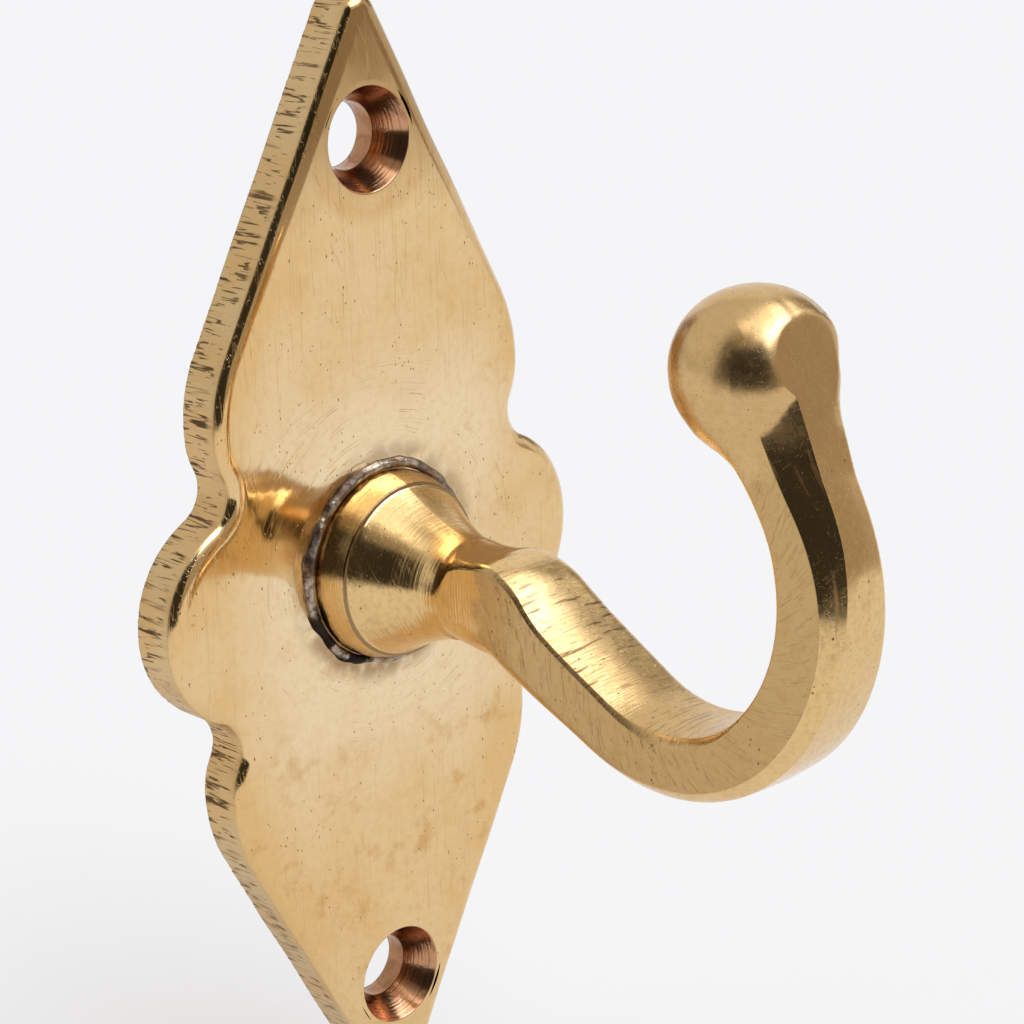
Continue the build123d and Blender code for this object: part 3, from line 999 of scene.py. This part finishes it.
def armMaterial():
    material, tree, shader, place = startMetal("armBrass")
    flow = flowPlace(tree)
    sideways, travelled, inward = parts(tree, flow)
    shade = shadesOf(armFinish)

    # where the faces are: the flat sides, and the turned bell and foot before the arm
    faces = addNode(tree, "ShaderNodeAttribute", attribute_name="faces").outputs["Vector"]
    throatBevel, sides, outerBevel = parts(tree, faces)
    turnedShare = stepUp(tree, travelled, 5.0, 2.0)
    ball = stepUp(tree, travelled, 47.0, 50.0)
    wander = cloud(tree, place, 0.6, detail=4.0)
    wandered = maths(tree, "MULTIPLY_ADD", wander, 4.0, travelled)
    side = times(tree, sides, stepUp(tree, wandered, 5.0, 6.5))
    side = times(tree, side, maths(tree, "SUBTRACT", 1.0, ball))
    # the face towards the throat is polished only near the knuckle
    worn = weighed(tree, (sideways, 0.9), (wander, 5.0), plus=travelled)
    dull = times(tree, stepUp(tree, worn, 14.0, 17.5), stepUp(tree, inward, 0.9, 1.6))
    dull = times(tree, dull, stepUp(tree, travelled, 40.0, 34.0))
    side = maths(tree, "MAXIMUM", side, times(tree, dull, 0.45))

    clouds = useGroup(tree, tarnishClouds, Vector=place, Scale=0.22, Low=0.42, High=0.70)["Mask"]
    spots = useGroup(tree, tarnishClouds, Vector=place, Scale=0.8, Low=0.52, High=0.72)["Mask"]
    colour = tinted(tree, shade["brass"], shade["side"], side, 0.85)
    lowerArm = times(tree, side, band(tree, travelled, 13.0, 32.0, 5.0))
    colour = tinted(tree, colour, shade["tarnish"], lowerArm, 0.3)
    colour = mixColours(tree, ball, colour, shade["ball"])
    heated = weighed(tree, (band(tree, travelled, -2.4, 2.8, 1.4), 0.28),
                     (stepUp(tree, travelled, -5.9, -6.3), 0.5))
    colour = mixColours(tree, weighed(tree, (heated, 0.5), (clouds, 0.22)), colour, shade["heated"])
    colour = tinted(tree, colour, shade["tarnish"], spots, weighed(tree, (side, 0.25), plus=0.25))

    # turned lines round the bell, brush marks across the arm, and short slanted scratches on its sides
    aroundBell = joined(tree, travelled, 0.0, times(tree, sideways, 0.25))
    turned = useGroup(tree, brushed, Vector=aroundBell, Across=5.0, Along=0.3, Dark=0.66)
    across = joined(tree, travelled, times(tree, inward, 0.5), sideways)
    brushes = useGroup(tree, brushed, Vector=across, Across=5.5, Along=0.4, Dark=0.58)
    lengthwise = useGroup(tree, brushed, Vector=joined(tree, sideways, inward, travelled), Across=2.6,
                          Along=0.12, Dark=0.60)
    slant = addNode(tree, "ShaderNodeMapping", {"Vector": joined(tree, travelled, sideways, inward),
                    "Rotation": (0, math.radians(35), 0)}).outputs[0]
    scratches = useGroup(tree, fineScratches, Vector=slant, Across=5.0, Along=0.5, Width=0.03,
                         Share=0.5)["Mask"]
    pits = useGroup(tree, castPits, Vector=place, Across=3.0, Along=2.4, Radius=0.28, Share=0.4)["Mask"]
    specks = useGroup(tree, castPits, Vector=place, Across=6.5, Along=6.5, Radius=0.3, Share=0.12)["Mask"]
    pits = maths(tree, "MAXIMUM", times(tree, pits, maths(tree, "SUBTRACT", 1.0, ball)), specks)

    top = times(tree, stepUp(tree, inward, 1.2, 1.9), band(tree, travelled, 5.0, 24.0, 2.0))
    top = times(tree, top, maths(tree, "SUBTRACT", 1.0, side))
    colour = tinted(tree, colour, shade["pitAndShade"], times(tree, brushes["Dark"], top), 0.8)
    bevel = times(tree, outerBevel, band(tree, travelled, 30.0, 50.0, 2.0))
    streaks = times(tree, lengthwise["Dark"], bevel)
    # painted reflection: the near bevel on the throat side darkened, where it mirrors the dark room
    bevelReflection = times(tree, throatBevel, band(tree, travelled, 4.0, 19.0, 2.5))
    colour = tinted(tree, colour, shade["pitAndShade"], bevelReflection, 0.62)
    colour = tinted(tree, colour, shade["tarnish"], turned["Dark"], times(tree, turnedShare, 0.4))
    colour = tinted(tree, colour, shade["streak"], streaks, 0.8)
    colour = tinted(tree, colour, shade["tarnish"], scratches, weighed(tree, (side, 0.5), plus=0.08))
    colour = tinted(tree, colour, shade["pitAndShade"], pits, 0.85)
    mottle = stepUp(tree, cloud(tree, place, 2.6, detail=5.0, roughness=0.6), 0.42, 0.72)
    colour = tinted(tree, colour, shade["tarnish"], mottle, 0.28)
    groove = band(tree, travelled, -6.1, -5.93, 0.06)
    colour = tinted(tree, colour, shade["pitAndShade"], groove, 0.7)

    waves = cloud(tree, place, 0.3, detail=1.0)
    height = weighed(tree, (times(tree, turned["Height"], turnedShare), 0.022),
                     (times(tree, brushes["Height"], top), 0.045),
                     (times(tree, lengthwise["Height"], bevel), 0.020),
                     (times(tree, scratches, weighed(tree, (side, 0.8), plus=0.2)), -0.012),
                     (pits, -0.008), (waves, 0.06))
    roughness = weighed(tree, (clouds, 0.06), (ball, 0.10), (side, 0.14), (streaks, 0.15), (pits, 0.1),
                        (spots, 0.08), (mottle, 0.06), (times(tree, brushes["Height"], top), 0.25),
                        plus=armFinish["roughness"])
    tree.links.new(colour, shader.inputs["Base Color"])
    roughen(tree, shader, height, 1.0, roughness)
    return material


sinkFinish = {
    "copper": (0.58, 0.31, 0.17),
    "brown": (0.26, 0.12, 0.05),
    "roughness": 0.16,
}


def sinkMaterial():
    # the machined countersinks, with turned ridges and brown tarnish towards the bore
    material, tree, shader, place = startMetal("sinkBrass")
    x, y, z = parts(tree, place)
    shade = shadesOf(sinkFinish)
    radius = distance(tree, x, maths(tree, "SUBTRACT", maths(tree, "ABSOLUTE", z), plate["screwSpacing"] / 2))
    lines = useGroup(tree, brushed, Vector=joined(tree, radius, 0.0, times(tree, x, 0.2)), Across=5.0,
                     Along=0.3, Dark=0.60)
    clouds = useGroup(tree, tarnishClouds, Vector=place, Scale=0.5, Low=0.42, High=0.68)["Mask"]
    brown = weighed(tree, (clouds, 0.35), (lines["Dark"], 0.5), (stepUp(tree, radius, 2.5, 2.2), 0.5))
    colour = mixColours(tree, maths(tree, "MINIMUM", brown, 1.0), shade["copper"], shade["brown"])
    tree.links.new(colour, shader.inputs["Base Color"])
    roughen(tree, shader, weighed(tree, (lines["Height"], 0.02), (clouds, 0.01)), 1.0,
            weighed(tree, (clouds, 0.1), plus=sinkFinish["roughness"]))
    return material


brazeFinish = {
    "silver": (0.52, 0.45, 0.38),
    "pink": (0.26, 0.17, 0.11),
    "black": (0.035, 0.025, 0.02),
    "roughness": 0.30,
}


def brazeMaterial():
    material, tree, shader, place = startMetal("brazeMetal")
    shade = shadesOf(brazeFinish)
    clouds = useGroup(tree, tarnishClouds, Vector=place, Scale=0.7, Low=0.40, High=0.60)["Mask"]
    shadeAndBurn = useGroup(tree, tarnishClouds, Vector=place, Scale=0.45, Low=0.44, High=0.54)["Mask"]
    low = stepUp(tree, parts(tree, place)["Z"], 4.0, -3.0)
    shadeAndBurn = times(tree, shadeAndBurn, weighed(tree, (low, 0.45), plus=0.55))
    colour = mixColours(tree, clouds, shade["silver"], shade["pink"])
    colour = mixColours(tree, shadeAndBurn, colour, shade["black"])
    tree.links.new(colour, shader.inputs["Base Color"])
    roughen(tree, shader, times(tree, cloud(tree, place, 2.2, detail=4.0), 0.15), 1.0,
            weighed(tree, (shadeAndBurn, 0.35), plus=brazeFinish["roughness"]))
    return material


print("materials ready")


# ---- light and floor ----

studio = {
    "backdrop": (0.912, 0.912, 0.920),
    "floor": (0.81, 0.79, 0.77),
    "floorFront": 270.0,  # how far the floor reaches towards the camera
    "floorRight": 450.0,
    "floorReach": 3000.0,
    "floorGlow": 0.6,  # share of plain background colour in the floor as seen by the camera
    "floorGlowReflected": 0.5,
    "around": (0.80, 0.79, 0.77),
    "overCamera": (0.42, 0.37, 0.31),
    "overCameraSide": (0.26, 0.23, 0.19),
    "darkRoom": (0.040, 0.036, 0.030),
    "dimSide": (0.45, 0.38, 0.32),
    "softbox": (4.6, 5.0, 6.0),
    "softboxSide": (2.0, 2.0, 1.95),
    "softboxFar": (2.9, 3.0, 3.2),
    "sideWall": (0.31, 0.275, 0.22),
    "ceiling": (1.7, 1.7, 1.65),
    # each zone: lowest and highest azimuth, lowest and highest elevation, softness of its edges
    "overCameraZone": (-106, -25, 45, 70, 3),
    "overCameraSideZone": (-58, -17, 30, 60, 5),
    "darkRoomZone": (-103, -16, -60, 46, 3),
    "dimSideZone": (-15, 58, -60, 31, 3),
    "softboxZone": (-20, 64, 42, 82, 3),
    "softboxFarZone": (58, 96, 50, 82, 5),
    "sideWallZone": (82, 110, 6, 47, 4),
    "softboxSideZone": (-44, -20, 54, 82, 4),
    "ceilingZone": (-110, 93, 66, 95, 4),
    "horizonZone": (-180, -100, 5.3, 6.9, 0.9),
    "horizon": (0.25, 0.19, 0.14),
    "screenCentre": (128.8, 24.0),  # a white screen behind the object
    "screenRadius": 33.7,
    "screen": (0.95, 0.95, 0.95),
    "screenEdge": (0.20, 0.13, 0.07),
    "screenEdgeWidth": 1.2,
}


def zoneMask(tree, azimuth, elevation, name):
    low, high, bottom, top, softness = studio[name + "Zone"]
    return times(tree, band(tree, azimuth, low, high, softness), band(tree, elevation, bottom, top, softness))


def buildWorld():
    world = bpy.data.worlds.new("studioWorld")
    bpy.context.scene.world = world
    world.use_nodes = True
    tree = world.node_tree
    tree.nodes.clear()
    coordinates = addNode(tree, "ShaderNodeTexCoord")
    x, y, z = addNode(tree, "ShaderNodeSeparateXYZ", {0: coordinates.outputs["Generated"]}).outputs
    azimuth = maths(tree, "DEGREES", maths(tree, "ARCTAN2", x, times(tree, y, -1.0)))
    elevation = maths(tree, "DEGREES", maths(tree, "ARCSINE", z))

    # each zone is laid over those before it
    colour = (*studio["around"], 1)
    for name in ("horizon", "overCamera", "overCameraSide", "darkRoom", "dimSide", "softbox", "softboxSide",
                 "softboxFar", "ceiling"):
        colour = mixColours(tree, zoneMask(tree, azimuth, elevation, name), colour, (*studio[name], 1))

    # the screen's edge shows as a thin dark line
    middle = addNode(tree, "ShaderNodeVectorMath", {0: coordinates.outputs["Generated"],
                     1: direction(*studio["screenCentre"])}, operation="DOT_PRODUCT")
    away = maths(tree, "DEGREES", maths(tree, "ARCCOSINE", middle.outputs["Value"]))
    radius, width = studio["screenRadius"], studio["screenEdgeWidth"]
    colour = mixColours(tree, stepUp(tree, away, radius + 0.5, radius - 0.5), colour, (*studio["screen"], 1))
    colour = mixColours(tree, band(tree, away, radius - width, radius + width, 0.7), colour,
                        (*studio["screenEdge"], 1))

    sideWall = zoneMask(tree, azimuth, elevation, "sideWall")
    colour = mixColours(tree, sideWall, colour, (*studio["sideWall"], 1))

    lightPath = addNode(tree, "ShaderNodeLightPath")
    colour = mixColours(tree, lightPath.outputs["Is Camera Ray"], colour, (*studio["backdrop"], 1))
    background = addNode(tree, "ShaderNodeBackground", {"Color": colour})
    addNode(tree, "ShaderNodeOutputWorld", {"Surface": background.outputs[0]})


def buildFloor():
    material = bpy.data.materials.new("paleFloor")
    material.use_nodes = True
    tree = material.node_tree
    tree.nodes.clear()
    diffuse = addNode(tree, "ShaderNodeBsdfDiffuse", {"Color": (*studio["floor"], 1)})
    glow = addNode(tree, "ShaderNodeEmission", {"Color": (*studio["backdrop"], 1)})
    lightPath = addNode(tree, "ShaderNodeLightPath")
    share = times(tree, lightPath.outputs["Is Glossy Ray"], studio["floorGlowReflected"])
    share = maths(tree, "MULTIPLY_ADD", lightPath.outputs["Is Camera Ray"], studio["floorGlow"], share)
    mix = addNode(tree, "ShaderNodeMixShader", {0: share, 1: diffuse.outputs[0], 2: glow.outputs[0]})
    addNode(tree, "ShaderNodeOutputMaterial", {"Surface": mix.outputs[0]})

    lowest = cadBounds[0].z
    reach, front, right = studio["floorReach"] * mm, studio["floorFront"] * mm, studio["floorRight"] * mm
    bpy.ops.object.select_all(action="DESELECT")
    bpy.ops.mesh.primitive_plane_add(size=1, location=(0, 0, 0))
    floor = bpy.context.object
    floor.name = "floor"
    bpy.ops.object.mode_set(mode="EDIT")
    bpy.ops.transform.resize(value=(reach + right, reach + front, 1))
    bpy.ops.transform.translate(value=((right - reach) / 2, (reach - front) / 2, lowest - 0.05 * mm))
    bpy.ops.transform.rotate(value=-math.radians(camera["azimuth"]), orient_axis="Z",
                             center_override=(0, 0, 0))
    bpy.ops.object.mode_set(mode="OBJECT")
    floor.data.materials.append(material)


buildBackPlate(plateMaterial(), sinkMaterial())
buildHookArm(armMaterial())
buildSolderRing(brazeMaterial())
buildWorld()
buildFloor()
bpy.context.scene.view_settings.view_transform = "Standard"
